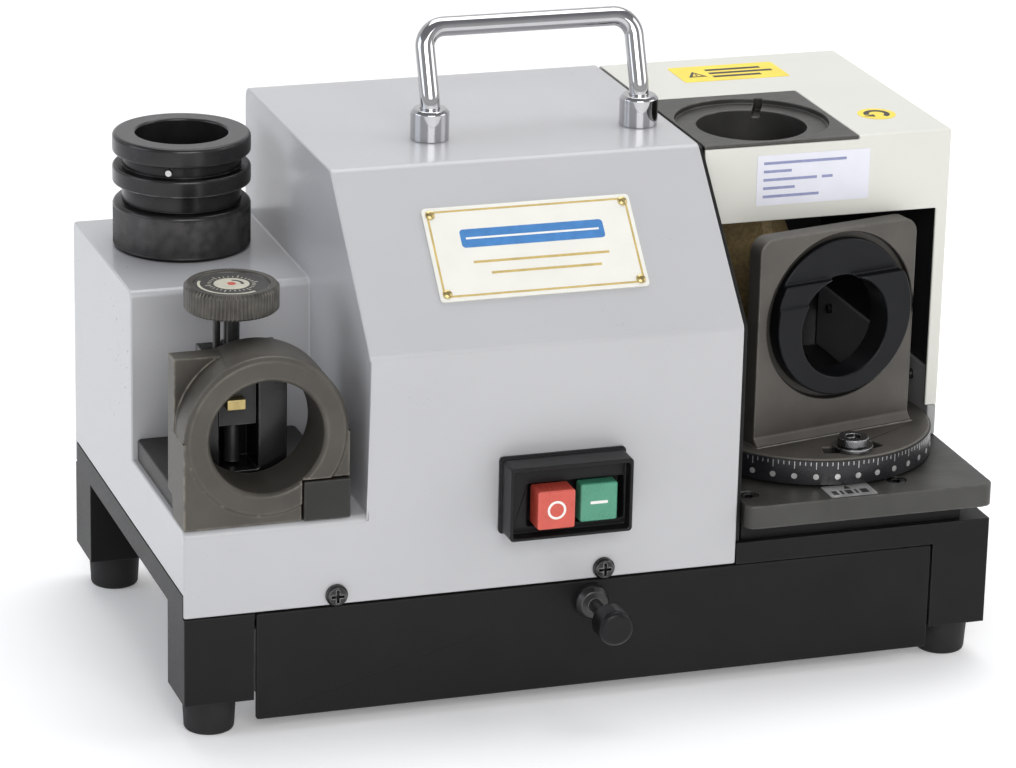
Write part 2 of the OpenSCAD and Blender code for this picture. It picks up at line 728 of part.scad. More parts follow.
module top_seat() {
    seat_floor = hood_top - 6.5;
    notch_turn = 64;
    color("#4c4a46") on_machine() difference() {
        union() {
            block([top_seat_x0, hood_y + 0.2, hood_top - 1.4], [top_seat_x1, top_seat_y1, hood_top]);
            block([top_seat_x0 + 2, hood_y + skin + 0.2, seat_floor], [top_seat_x1, top_seat_y1, hood_top]);
            rod_z(top_axis_x, top_axis_y, hood_top - 18, hood_top - 4, 27);
        }
        rod_z(top_axis_x, top_axis_y, hood_top - 20, hood_top + 1, seat_bore_r);
        rod_z(top_axis_x, top_axis_y, hood_top - 2.2, hood_top + 1, 30);
        translate([top_axis_x, top_axis_y, 0]) rotate(notch_turn)
            block([seat_bore_r - 1, -1.6, hood_top - 5], [31.5, 1.6, hood_top + 1]);
    }
}

// ---- table and point seat ----

table_screw_at = [[62.5, 7.7], [123.6, 8.5], [64, 155], [142, 155]];

module table_plate() {
    color("#55534d") on_machine() difference() {
        along_z(table_z - table_t, table_z) polygon(rounded(rectangle(hood_x0, -5.6, hood_x1, 168),
            [4, 4, 2, 2]));
        rod_z(pivot_x, pivot_y, table_z - table_t - 1, table_z + 1, 6);
        rod_z(clamp_at.x, clamp_at.y, table_z - table_t - 1, table_z + 1, 3.05);
        for (p = table_screw_at) rod_z(p.x, p.y, table_z - table_t - 1, table_z + 1, 2.1);
        for (p = table_screw_at) rod_z(p.x, p.y, table_z - 4, table_z + 1, 3.8);
        block([wheel_x - 20, 75, table_z - table_t - 1], [wheel_x + 20, 125, table_z + 1]);
    }
}

module table_riser() {
    color("#1e1e1d") on_machine() difference() {
        block([hood_x0 + 1, 3, base_top + 0.05], [149, 163, table_z - table_t - 0.05]);
        block([wheel_x - 20, 75, base_top - 1], [wheel_x + 20, 125, table_z]);
        for (p = table_screw_at) rod_z(p.x, p.y, base_top - 1, table_z, 2.1);
    }
}

module table_screws() {
    color("#2b2b2b") on_machine() for (p = table_screw_at) translate([p.x, p.y, table_z - 3.95])
        cap_screw(3.5, 3.6, 2, 9);
}

// Frame of the point seat: u across its plate, v back, at the swivel axis
module at_pivot() {
    translate([pivot_x, pivot_y, 0]) rotate(swivel_rest) children();
}

// The clamp screw stands in the table in front of the swivel axis
clamp_at = [pivot_x + clamp_r * sin(clamp_lean), pivot_y - clamp_r * cos(clamp_lean)];
slot_half = 18.5;
slot_from = -90 - swivel_rest + clamp_lean - slot_half;

module swivel_bracket() {
    color("#55524b") on_machine() at_pivot() difference() {
        union() {
            difference() {
                rod_z(0, 0, table_z + 0.1, disc_top, disc_r);
                block([-60, 12, table_z - 1], [60, 60, disc_top + 1]);
            }
            along_y(plate_front, plate_back) polygon(rounded(rectangle(plate_left, disc_top - 3,
                plate_right, plate_top), [0, 0, 6, 6]));
            along_x(plate_left, plate_right) polygon([[plate_front - 3, disc_top - 1],
                [plate_front - 3, disc_top + 0.1], [plate_front + 1, disc_top + 4.1],
                [plate_front + 1, disc_top - 1]]);
        }
        rod_z(0, 0, table_z - 1, disc_top + 1, 6 + run_fit);
        rotate([0, 0, slot_from]) translate([0, 0, table_z - 1]) rotate_extrude(angle = 2 * slot_half)
            translate([clamp_r - 3.3, 0]) square([6.6, 14]);
        rod_y(0, plate_front - 1, plate_back + 1, point_z + ring_rise, 27);
        rod_y(0, plate_front - 1, plate_front + 3, point_z + ring_rise, 33.4);
    }
}

module scale_band() {
    color("#1b1b1b") on_machine() at_pivot() rotate([0, 0, -165]) translate([0, 0, table_z + 0.8])
        rotate_extrude(angle = 150) translate([disc_r + 0.02, 0]) square([0.6, disc_top - table_z - 1.6]);
}

module seat_ring() {
    ring_r = 30.8;
    ring_front = plate_front - 4;
    color("#26272a") on_machine() at_pivot() difference() {
        union() {
            rod_y(0, ring_front, plate_front + 2.95, point_z + ring_rise, ring_r);
            rod_y(0, plate_front, plate_back, point_z + ring_rise, 27 - run_fit);
        }
        rod_y(0, ring_front - 1, plate_back + 1, point_z, point_bore_r);
        block([-40, ring_front - 1, point_z + point_bore_r - 0.6], [40, ring_front + 4, point_z + 40]);
        block([-40, ring_front - 1, point_z + 11], [-1, ring_front + 1.4, point_z + 40]);
    }
}

module clamp_screw() {
    color("#c4c6c8") on_machine() translate([clamp_at.x, clamp_at.y, disc_top + 1.7]) cap_screw(6, 3.2, 3, 19);
}

module clamp_washer() {
    color("#aeb0b2") on_machine() translate([clamp_at.x, clamp_at.y, disc_top + 0.05])
        washer_ring(0, 1.6, 7.8, 3.1);
}

module pivot_pin() {
    color("#8f9194") on_machine() union() {
        rod_z(pivot_x, pivot_y, table_z - table_t + 0.1, disc_top + 0.1, 6 - 0.02);
        rod_z(pivot_x, pivot_y, disc_top + 0.05, disc_top + 2.5, 8);
    }
}

// ---- motor and wheel ----

module motor_case() {
    color("#5f6669") on_machine() spindle_ring(motor_x0, motor_x1, motor_r, motor_r - 4);
}

module motor_end_caps() {
    color("#6f7578") on_machine() for (side = [0, 1]) {
        inner = side == 0 ? motor_x0 : motor_x1;
        outer = side == 0 ? motor_x0 - cap_t : motor_x1 + cap_t;
        seat = side == 0 ? motor_x0 + 4 : motor_x1 - 4;
        difference() {
            union() {
                rod_x(min(inner, outer) + (side == 0 ? 0 : 0.05), max(inner, outer) - (side == 0 ? 0.05 : 0),
                    spindle_y, spindle_z, motor_r);
                rod_x(min(seat, outer), max(seat, outer), spindle_y, spindle_z, 24);
            }
            rod_x(min(seat, outer) - 1, max(seat, outer) + 1, spindle_y, spindle_z, shaft_r + 1.5);
            rod_x(side == 0 ? outer + 1.5 : seat - 1, side == 0 ? seat + 1 : outer - 1.5, spindle_y, spindle_z,
                bearing_r + 0.02);
        }
    }
}

module motor_stator() {
    color("#8a5a3a") on_machine() spindle_ring(motor_x0 + 20, motor_x1 - 20, motor_r - 4.1, 30);
}

module motor_rotor() {
    color("#7d8083") on_machine() spindle_ring(motor_x0 + 22, motor_x1 - 22, 29.4, shaft_r + 0.02);
}

shaft_x0 = -86.5;
thread_x = wheel_x + wheel_half - 2;

module motor_shaft() {
    color("#b7b9bb") on_machine() {
        rod_x(shaft_x0, thread_x, spindle_y, spindle_z, shaft_r);
        rod_x(thread_x - 0.5, thread_x + 13, spindle_y, spindle_z, 6);
    }
}

module motor_bearings() {
    color("#c9cbcd") on_machine() for (x = [motor_x0 - cap_t + 1.6, motor_x1 + cap_t - 1.6 - bearing_w])
        spindle_ring(x, x + bearing_w - 0.2, bearing_r, shaft_r + run_fit);
}

module motor_fan() {
    blades = 8;
    color("#3b3b3b") on_machine() difference() {
        union() {
            rod_x(-86, -83.5, spindle_y, spindle_z, 42);
            rod_x(-86, -74, spindle_y, spindle_z, 13);
            for (i = [0:blades - 1]) translate([0, spindle_y, spindle_z]) rotate([i * 360 / blades, 0, 0])
                block([-84, -1, 12], [-74, 1, 41]);
        }
        rod_x(-87, -73, spindle_y, spindle_z, shaft_r + 0.02);
    }
}

module motor_cradle() {
    color("#2e2f30") on_machine() difference() {
        union() {
            for (x = [-46, 12]) block([x, 60, base_top + 0.1], [x + 12, 128, 92]);
            block([-50, 56, base_top + 0.1], [28, 132, base_top + 3]);
        }
        rod_x(-60, 40, spindle_y, spindle_z, motor_r + run_fit);
    }
}

// Taper that meets a drill point of the rest half angle in the point seat at rest
wheel_taper = 90 - point_half + swivel_rest;
taper_drop = (wheel_half - wheel_land) / tan(wheel_taper);

module at_wheel() {
    translate([wheel_x, spindle_y, spindle_z]) rotate([0, 90, 0]) children();
}

module grinding_wheel() {
    color("#b08d4a") on_machine() at_wheel() rotate_extrude() polygon([[22, -wheel_half],
        [wheel_r - taper_drop, -wheel_half], [wheel_r, -wheel_land], [wheel_r, wheel_land],
        [wheel_r - taper_drop, wheel_half], [22, wheel_half]]);
}

module wheel_hub() {
    color("#9b9da0") on_machine() at_wheel() rotate_extrude() polygon([[shaft_r + 0.02, -wheel_half - 6],
        [14, -wheel_half - 6], [14, -9], [21.95, -9], [21.95, 9], [shaft_r + 0.02, 9]]);
}

module wheel_nut() {
    color("#85878a") on_machine() at_wheel() difference() {
        union() {
            translate([0, 0, wheel_half - 1.9]) cylinder(h = 9, r = 10.9, $fn = 6);
            rod_z(0, 0, 9.05, wheel_half - 1.5, 14);
        }
        rod_z(0, 0, 9, wheel_half - 1.9, shaft_r + 0.02);
        rod_z(0, 0, 5, wheel_half + 12, 6.02);
    }
}

module capacitor() {
    color("#d7d8d4") on_machine() difference() {
        union() {
            rod_y(-136, 86, 146, 79, 16);
            block([-156, 108, base_top + 0.1], [-116, 120, 66]);
        }
        block([-150, 107, base_top - 1], [-122, 121, 60]);
    }
}

inlet_x = -122;
inlet_z = 104;

module power_inlet() {
    color("#1a1a1a") on_machine() difference() {
        union() {
            along_y(body_d, body_d + rear_reach) polygon(rounded(rectangle(inlet_x - 25, inlet_z - 13.5,
                inlet_x + 25, inlet_z + 13.5), [5, 5, 5, 5]));
            block([inlet_x - 14, body_d - 24, inlet_z - 10], [inlet_x + 14, body_d + 1, inlet_z + 10]);
        }
        block([inlet_x - 11.5, body_d - 16, inlet_z - 7.5], [inlet_x + 11.5, body_d + 5, inlet_z + 7.5]);
        for (side = [-1, 1]) rod_y(inlet_x + side * 20, body_d - 1, body_d + 5, inlet_z, 1.7);
    }
}

base_pan();
rubber_feet();
foot_screws();
drawer_tray();
drawer_front();
drawer_knob();
drawer_knob_stud();
drawer_runners();
gray_cover();
cover_screws();
handle_bar();
handle_collars();
nameplate();
nameplate_rivets();
switch_bezel();
stop_button();
start_button();
switch_block();
chuck_bush();
chuck_body();
chuck_nut();
chuck_collet();
chuck_pin();
setting_base();
setting_seat();
setting_post();
gauge_slide();
gauge_tip();
dial_knob();
dial_screw();
guide_pin();
setting_stop();
setting_screws();
partition_plate();
white_hood();
hood_foot();
hood_screws();
top_seat();
table_plate();
table_riser();
table_screws();
swivel_bracket();
scale_band();
seat_ring();
clamp_screw();
clamp_washer();
pivot_pin();
motor_case();
motor_end_caps();
motor_stator();
motor_rotor();
motor_shaft();
motor_bearings();
motor_fan();
motor_cradle();
grinding_wheel();
wheel_hub();
wheel_nut();
capacitor();
power_inlet();
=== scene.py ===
import bpy
import json
import math
from mathutils import Matrix, Vector


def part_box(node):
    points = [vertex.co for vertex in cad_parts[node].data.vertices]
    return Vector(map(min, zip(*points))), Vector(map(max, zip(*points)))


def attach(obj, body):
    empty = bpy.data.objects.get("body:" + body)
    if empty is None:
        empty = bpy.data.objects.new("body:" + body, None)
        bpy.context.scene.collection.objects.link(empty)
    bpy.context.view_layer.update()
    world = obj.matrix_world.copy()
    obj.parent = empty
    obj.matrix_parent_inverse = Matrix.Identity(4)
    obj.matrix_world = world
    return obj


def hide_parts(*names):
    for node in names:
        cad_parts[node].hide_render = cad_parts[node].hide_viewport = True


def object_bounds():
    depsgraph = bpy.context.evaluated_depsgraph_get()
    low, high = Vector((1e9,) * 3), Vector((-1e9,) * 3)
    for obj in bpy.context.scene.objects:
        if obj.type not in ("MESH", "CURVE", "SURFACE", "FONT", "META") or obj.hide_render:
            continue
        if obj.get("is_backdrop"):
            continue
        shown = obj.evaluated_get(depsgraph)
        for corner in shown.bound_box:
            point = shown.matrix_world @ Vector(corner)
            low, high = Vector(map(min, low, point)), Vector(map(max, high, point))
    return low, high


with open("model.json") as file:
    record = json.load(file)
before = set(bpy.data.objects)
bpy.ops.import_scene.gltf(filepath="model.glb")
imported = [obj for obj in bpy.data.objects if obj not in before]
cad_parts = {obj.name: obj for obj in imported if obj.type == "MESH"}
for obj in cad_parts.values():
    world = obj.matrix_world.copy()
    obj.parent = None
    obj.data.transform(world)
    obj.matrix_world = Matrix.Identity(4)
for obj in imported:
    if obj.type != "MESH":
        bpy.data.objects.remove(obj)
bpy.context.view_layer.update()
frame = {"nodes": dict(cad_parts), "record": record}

scene = bpy.context.scene
MM = 0.001
SLOT_OF = {part["node"]: part["material_slot"] for part in frame["record"]["subparts"]}


# ---- node graphs for the finishes ----

class Graph:
    """A material's nodes, with short helpers for noise, mixing and edge masks."""

    def __init__(self, name):
        self.material = bpy.data.materials.new(name)
        self.material.use_nodes = True
        self.tree = self.material.node_tree
        self.tree.nodes.clear()
        output = self.tree.nodes.new("ShaderNodeOutputMaterial")
        self.shader = self.tree.nodes.new("ShaderNodeBsdfPrincipled")
        self.tree.links.new(self.shader.outputs[0], output.inputs[0])
        self.place = self.tree.nodes.new("ShaderNodeTexCoord").outputs["Object"]

    def put(self, node, key, value):
        if isinstance(value, bpy.types.NodeSocket):
            self.tree.links.new(value, node.inputs[key])
        else:
            node.inputs[key].default_value = value

    def add(self, kind, settings=None, **values):
        node = self.tree.nodes.new(kind)
        for key, value in (settings or {}).items():
            setattr(node, key, value)
        for key, value in values.items():
            self.put(node, key.replace("_", " "), value)
        return node

    def calc(self, operation, a, b=0.0):
        node = self.tree.nodes.new("ShaderNodeMath")
        node.operation = operation
        self.put(node, 0, a)
        self.put(node, 1, b)
        return node.outputs[0]

    def stretched(self, factors):
        node = self.tree.nodes.new("ShaderNodeMapping")
        self.put(node, "Vector", self.place)
        node.inputs["Scale"].default_value = factors
        return node.outputs[0]

    def noise(self, size, detail=3.0, stretch=None, shift=0.0):
        """Noise between 0 and 1 whose features are about size metres across."""
        where = self.stretched(stretch) if stretch else self.place
        if shift:
            mover = self.add("ShaderNodeVectorMath", Vector=where)
            mover.inputs[1].default_value = (shift, shift * 0.7, shift * 1.3)
            where = mover.outputs[0]
        node = self.add("ShaderNodeTexNoise", Vector=where, Scale=1.0 / size, Detail=detail)
        return node.outputs["Fac"]

    def ranged(self, value, low, high, to_low=0.0, to_high=1.0):
        node = self.add("ShaderNodeMapRange", Value=value)
        for key, number in (("From Min", low), ("From Max", high), ("To Min", to_low), ("To Max", to_high)):
            node.inputs[key].default_value = number
        return node.outputs[0]

    def mixed(self, fac, a, b):
        node = self.tree.nodes.new("ShaderNodeMix")
        node.data_type = "RGBA"
        self.put(node, 0, fac)
        for index, value in ((6, a), (7, b)):
            if isinstance(value, bpy.types.NodeSocket):
                self.tree.links.new(value, node.inputs[index])
            else:
                node.inputs[index].default_value = (*value, 1.0)
        return node.outputs[2]

    def edges(self, radius, sharp=0.12):
        """1 on edges, 0 on flat faces, from how far a rounded normal turns away from the real one."""
        soft = self.tree.nodes.new("ShaderNodeBevel")
        soft.samples = 4
        soft.inputs["Radius"].default_value = radius
        turned = self.tree.nodes.new("ShaderNodeVectorMath")
        turned.operation = "DOT_PRODUCT"
        self.put(turned, 0, soft.outputs[0])
        self.put(turned, 1, self.tree.nodes.new("ShaderNodeNewGeometry").outputs["Normal"])
        return self.ranged(turned.outputs["Value"], 1.0, 1.0 - sharp)

    def bumped(self, height, strength, distance):
        node = self.add("ShaderNodeBump", Height=height, Strength=strength, Distance=distance)
        self.put(self.shader, "Normal", node.outputs[0])


def shade(colour, factor):
    return tuple(min(1.0, channel * factor) for channel in colour)


DUST_COLOUR = (0.42, 0.40, 0.37)
WEAR_AND_HIGHLIGHT_SPOT, DUST_SPOT = 0.004, 0.012
# reach of the painted shade that darkens grooves and bores
HOLLOW_SHADE_REACH = 0.014


def finish_of(name, colour, rough, metal=0.0, spread=0.08, tint=0.08, patch=0.035, grain=0.0008,
              depth=0.00002, strength=0.3, wear_and_highlight=0.0, worn_and_highlight=None, wear_and_highlight_width=0.0008, coat=0.0, stretch=None,
              dust=0.0, shine=0.5, shaded_interior=None, hollow_shade=0.0):
    """A finish with colour patches, fine grain in roughness and bump, and edges turned to another colour:
    rubbed wear, and on black oxide also a painted highlight along the rims.

    Lengths are in metres. patch and grain are the sizes of the coarse and the fine variation.
    The shaded interior box is (low corner, high corner, colour): faces in that box take that colour as
    painted shade.
    The hollow shade darkens grooves and bores and greys their reflections, from ambient occlusion: painted
    shade.
    """
    g = Graph(name)
    patches = g.noise(patch, 4.0)
    tone = g.mixed(g.ranged(patches, 0.3, 0.7), shade(colour, 1 - tint), shade(colour, 1 + tint))
    fine = g.noise(grain, 2.0, stretch, 3.1)
    blend = g.calc("ADD", g.calc("MULTIPLY", fine, 0.6), g.calc("MULTIPLY", patches, 0.4))
    roughness = g.ranged(blend, 0.25, 0.75, max(0.02, rough - spread), rough + spread)
    # edge colour: rubbed wear, and on black oxide also a painted highlight along the rims
    if wear_and_highlight:
        spots = g.ranged(g.noise(WEAR_AND_HIGHLIGHT_SPOT, 5.0, None, 1.7), 0.35, 0.6, 0.25, 1.0)
        edge = g.calc("MULTIPLY", g.calc("MULTIPLY", g.edges(wear_and_highlight_width), spots), wear_and_highlight)
        tone = g.mixed(edge, tone, worn_and_highlight or shade(colour, 2.5))
    if dust:
        up = g.tree.nodes.new("ShaderNodeSeparateXYZ")
        g.put(up, 0, g.tree.nodes.new("ShaderNodeNewGeometry").outputs["Normal"])
        spots = g.ranged(g.noise(DUST_SPOT, 5.0, None, 5.3), 0.4, 0.75)
        film = g.calc("MULTIPLY", g.calc("MULTIPLY", g.ranged(up.outputs[2], 0.4, 1.0), spots), dust)
        tone = g.mixed(film, tone, DUST_COLOUR)
        roughness = g.calc("ADD", roughness, g.calc("MULTIPLY", film, 0.3))
    # painted shade: ambient occlusion darkens the colour and greys the reflections in grooves and bores
    if hollow_shade:
        occlusion = g.tree.nodes.new("ShaderNodeAmbientOcclusion")
        occlusion.samples = 4
        occlusion.inputs["Distance"].default_value = HOLLOW_SHADE_REACH
        hollow_shade_mask = g.calc("MULTIPLY", g.ranged(occlusion.outputs["AO"], 0.85, 0.35), hollow_shade)
        tone = g.mixed(hollow_shade_mask, tone, shade(colour, 0.15))
        g.put(g.shader, "Specular Tint", g.mixed(hollow_shade_mask, (1.0, 1.0, 1.0), (0.3, 0.3, 0.3)))
    # painted shade: faces in the box take the dark colour, and their roughness rises
    if shaded_interior:
        low, high, dark = shaded_interior
        axes = g.tree.nodes.new("ShaderNodeSeparateXYZ")
        g.put(axes, 0, g.place)
        in_shade = 1.0
        for index in range(3):
            above = g.calc("GREATER_THAN", axes.outputs[index], low[index])
            below = g.calc("LESS_THAN", axes.outputs[index], high[index])
            in_shade = g.calc("MULTIPLY", in_shade, g.calc("MULTIPLY", above, below))
        tone = g.mixed(in_shade, tone, dark)
        roughness = g.calc("ADD", roughness, g.calc("MULTIPLY", in_shade, 0.35))
    g.put(g.shader, "Base Color", tone)
    g.put(g.shader, "Roughness", roughness)
    g.put(g.shader, "Specular IOR Level", shine)
    g.put(g.shader, "Metallic", metal)
    g.put(g.shader, "Coat Weight", coat)
    g.put(g.shader, "Coat Roughness", 0.12)
    g.bumped(fine, strength, depth)
    return g.material


hood_low, hood_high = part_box("white_hood")
HALF_SHEET, HALF_BACK_SHEET = 0.0009, 0.0012
# painted shade: the hood's interior faces are painted near black, for the shade in the hood
HOOD_SHADED_INTERIOR = ((-1.0, hood_low.y + HALF_SHEET, -1.0),
               (hood_high.x - HALF_SHEET, hood_high.y - HALF_BACK_SHEET, hood_high.z - HALF_SHEET),
               (0.012, 0.012, 0.012))

LOOKS = {
    "gray_paint": dict(colour=(0.462, 0.463, 0.474), rough=0.3, spread=0.04, tint=0.025, patch=0.06,
                       grain=0.0016, depth=0.000005, strength=0.12, coat=0.2),
    # cream paint: the hood's interior is painted near black as painted shade
    "cream_paint": dict(colour=(0.675, 0.67, 0.615), rough=0.34, spread=0.05, tint=0.02, patch=0.05,
                        grain=0.0012, depth=0.00001, strength=0.25, coat=0.15, shaded_interior=HOOD_SHADED_INTERIOR),
    "black_paint": dict(colour=(0.0085, 0.0085, 0.008), rough=0.42, spread=0.06, tint=0.18, patch=0.03,
                        grain=0.0009, depth=0.00002, strength=0.3, wear_and_highlight=0.6, worn_and_highlight=(0.05, 0.05, 0.048),
                        dust=0.02, shine=0.17),
    "motor_paint": dict(colour=(0.12, 0.135, 0.145), rough=0.42, grain=0.0009, wear_and_highlight=0.5,
                        worn_and_highlight=(0.3, 0.3, 0.3)),
    "foot_gray": dict(colour=(0.33, 0.335, 0.33), rough=0.42, tint=0.1, wear_and_highlight=0.5, worn_and_highlight=(0.5, 0.5, 0.5)),
    "zinc_steel": dict(colour=(0.58, 0.58, 0.57), rough=0.3, metal=1.0, tint=0.12, patch=0.006,
                       grain=0.0004, wear_and_highlight=0.5, worn_and_highlight=(0.75, 0.75, 0.74)),
    "screw_steel": dict(colour=(0.16, 0.16, 0.165), rough=0.26, metal=1.0, tint=0.25, patch=0.003,
                        grain=0.0004, wear_and_highlight=0.9, worn_and_highlight=(0.8, 0.8, 0.81)),
    "dark_steel": dict(colour=(0.06, 0.06, 0.058), rough=0.34, metal=0.8, tint=0.2, patch=0.01,
                       grain=0.0005, wear_and_highlight=0.6, worn_and_highlight=(0.28, 0.275, 0.26)),
    # black oxide: its pale edge colour is partly rubbed wear and partly a painted highlight along the rims
    # black oxide: painted shade darkens its grooves and bore
    "black_oxide": dict(colour=(0.026, 0.0255, 0.0255), rough=0.23, metal=0.5, tint=0.25, patch=0.012,
                        grain=0.0004, spread=0.05, depth=0.00001, wear_and_highlight=0.9, worn_and_highlight=(0.3, 0.29, 0.285),
                        hollow_shade=0.9),
    # ring black: painted shade darkens its grooves and bore
    "ring_black": dict(colour=(0.006, 0.0066, 0.0078), rough=0.34, metal=0.1, tint=0.25, patch=0.02,
                       grain=0.0005, spread=0.06, depth=0.00001, wear_and_highlight=0.5, worn_and_highlight=(0.06, 0.066, 0.075),
                       shine=0.2, hollow_shade=0.6),
    # table steel: painted shade darkens its hollows
    "table_steel": dict(colour=(0.062, 0.061, 0.056), rough=0.42, metal=0.55, tint=0.14, patch=0.02,
                        grain=0.0006, stretch=(0.08, 1.0, 1.0), depth=0.00002, wear_and_highlight=0.7,
                        worn_and_highlight=(0.26, 0.25, 0.23), dust=0.08, hollow_shade=0.6),
    "cast_dark": dict(colour=(0.02, 0.0195, 0.0175), rough=0.5, metal=0.3, tint=0.16, patch=0.015,
                      grain=0.0007, depth=0.00004, strength=0.4, wear_and_highlight=0.7, worn_and_highlight=(0.13, 0.125, 0.11),
                      dust=0.03),
    # cast olive: painted shade darkens its hollows
    "cast_olive": dict(colour=(0.066, 0.060, 0.050), rough=0.46, metal=0.3, tint=0.2, patch=0.018,
                       grain=0.0007, depth=0.00004, strength=0.4, wear_and_highlight=1.0, worn_and_highlight=(0.30, 0.27, 0.22),
                       wear_and_highlight_width=0.0012, dust=0.05, hollow_shade=0.6),
    # cast gray: painted shade darkens its hollows
    "cast_gray": dict(colour=(0.092, 0.084, 0.074), rough=0.46, metal=0.4, tint=0.16, patch=0.02,
                      grain=0.0007, depth=0.00003, strength=0.35, wear_and_highlight=0.85, worn_and_highlight=(0.25, 0.24, 0.21),
                      dust=0.04, hollow_shade=0.6),
    "stator_iron": dict(colour=(0.2, 0.09, 0.035), rough=0.45, metal=0.5, tint=0.25, patch=0.01,
                        grain=0.0005, stretch=(6.0, 1.0, 1.0), depth=0.0001),
    "chrome": dict(colour=(0.50, 0.50, 0.51), rough=0.07, metal=1.0, spread=0.025, tint=0.03, patch=0.01,
                   grain=0.002, depth=0.000004, strength=0.1),
    "plate_metal": dict(colour=(0.80, 0.79, 0.73), rough=0.33, metal=0.1, spread=0.06, tint=0.03,
                        patch=0.02, grain=0.0005, stretch=(0.05, 1.0, 1.0), depth=0.00001),
    "brass": dict(colour=(0.46, 0.36, 0.16), rough=0.34, metal=1.0, tint=0.2, patch=0.003, grain=0.0004,
                  wear_and_highlight=0.5, worn_and_highlight=(0.8, 0.68, 0.36)),
    "alloy": dict(colour=(0.5, 0.5, 0.51), rough=0.34, metal=1.0, tint=0.1, patch=0.01, grain=0.0005),
    "motor_alloy": dict(colour=(0.22, 0.23, 0.24), rough=0.45, metal=0.8, tint=0.12, patch=0.012,
                        grain=0.0007, depth=0.00005, strength=0.4),
    "rubber": dict(colour=(0.012, 0.012, 0.012), rough=0.6, tint=0.2, patch=0.008, grain=0.0005,
                   depth=0.00004, wear_and_highlight=0.4, worn_and_highlight=(0.045, 0.045, 0.044), shine=0.3),
    "black_plastic": dict(colour=(0.0085, 0.0085, 0.009), rough=0.32, tint=0.15, patch=0.012, grain=0.0006,
                          depth=0.00002, wear_and_highlight=0.4, worn_and_highlight=(0.04, 0.04, 0.042), shine=0.2),
    "dial_black": dict(colour=(0.058, 0.053, 0.046), rough=0.36, metal=0.5, tint=0.2, patch=0.008,
                       grain=0.0005, wear_and_highlight=0.8, worn_and_highlight=(0.2, 0.19, 0.165)),
    "red_plastic": dict(colour=(0.56, 0.075, 0.05), rough=0.3, tint=0.07, patch=0.008, grain=0.0006,
                        depth=0.00001, wear_and_highlight=0.5, worn_and_highlight=(0.85, 0.34, 0.28), coat=0.25),
    "green_plastic": dict(colour=(0.06, 0.27, 0.17), rough=0.3, tint=0.07, patch=0.008, grain=0.0006,
                          depth=0.00001, wear_and_highlight=0.5, worn_and_highlight=(0.25, 0.55, 0.4), coat=0.25),
    "scale_black": dict(colour=(0.010, 0.010, 0.012), rough=0.3, tint=0.2, patch=0.01, grain=0.0005),
    # abrasive: golden brown, kept darker than its own colour as painted shade for the wheel deep in the hood
    "abrasive": dict(colour=(0.15, 0.105, 0.04), rough=0.75, tint=0.3, patch=0.0015, grain=0.0004,
                     depth=0.0002, strength=0.9),
    "capacitor_case": dict(colour=(0.62, 0.62, 0.6), rough=0.35, metal=0.9, tint=0.06, grain=0.0006),
    "label_yellow": dict(colour=(0.92, 0.70, 0.03), rough=0.38, tint=0.06, patch=0.01, grain=0.0008,
                         depth=0.000008, coat=0.1),
    "label_white": dict(colour=(0.74, 0.745, 0.81), rough=0.4, tint=0.03, patch=0.01, grain=0.0008,
                        depth=0.000008, coat=0.1),
}
INKS = {
    "ink_black": dict(colour=(0.018, 0.017, 0.016), rough=0.45, tint=0.2, patch=0.003, grain=0.0003,
                      depth=0.000004),
    "ink_blue": dict(colour=(0.05, 0.20, 0.48), rough=0.4, tint=0.1, patch=0.004, grain=0.0003,
                     depth=0.000004),
    "ink_slate": dict(colour=(0.26, 0.28, 0.46), rough=0.45, tint=0.1, patch=0.002, grain=0.0003,
                      depth=0.000004),
    "ink_gold": dict(colour=(0.70, 0.53, 0.20), rough=0.35, metal=0.5, tint=0.1, patch=0.004, grain=0.0003,
                     depth=0.000004),
    "ink_red": dict(colour=(0.50, 0.07, 0.04), rough=0.4, tint=0.1, patch=0.003, grain=0.0003,
                    depth=0.000004),
    "ink_white": dict(colour=(0.80, 0.79, 0.75), rough=0.4, tint=0.04, patch=0.003, grain=0.0003,
                      depth=0.000004),
    "ink_silver": dict(colour=(0.55, 0.55, 0.54), rough=0.35, metal=0.7, tint=0.1, patch=0.003,
                       grain=0.0003, depth=0.000004),
    "dial_face": dict(colour=(0.56, 0.54, 0.44), rough=0.4, metal=0.3, tint=0.1, patch=0.003, grain=0.0004,
                      depth=0.000006),
}

FINISH = {name: finish_of(name, **look) for name, look in LOOKS.items()}
PRINT = {name: finish_of(name, **look) for name, look in INKS.items()}


# ---- finishes and rounded edges on the CAD nodes ----

ROUNDING_MM = {
    "base_pan": 0.9, "drawer_front": 0.5, "drawer_tray": 0.4, "gray_cover": 0.8, "white_hood": 0.4,
    "hood_foot": 0.6, "nameplate": 0.2, "switch_bezel": 0.6, "stop_button": 0.8, "start_button": 0.8,
    "switch_block": 0.3, "setting_base": 0.7, "setting_seat": 0.5, "setting_post": 0.5,
    "gauge_slide": 0.4, "gauge_tip": 0.3, "setting_stop": 0.6, "top_seat": 0.5, "table_plate": 0.6,
    "table_riser": 0.5, "swivel_bracket": 0.7, "seat_ring": 0.8, "chuck_body": 0.15, "chuck_collet": 0.25,
    "clamp_screw": 0.35, "table_screws": 0.3, "setting_screws": 0.3, "handle_collars": 0.35,
    "rubber_feet": 0.6, "drawer_knob": 0.12, "drawer_knob_stud": 0.3, "partition_plate": 0.3,
    "drawer_runners": 0.3, "motor_cradle": 0.6, "motor_end_caps": 0.8, "capacitor": 0.8,
    "power_inlet": 0.6, "wheel_nut": 0.4, "pivot_pin": 0.3, "clamp_washer": 0.2, "chuck_bush": 0.3,
}
WELD_REACH = 0.000005
FLAT_ANGLE, SHARP_ANGLE = math.radians(0.6), math.radians(28)
WIDTH_SHARES = (1.0, 0.6, 0.3)
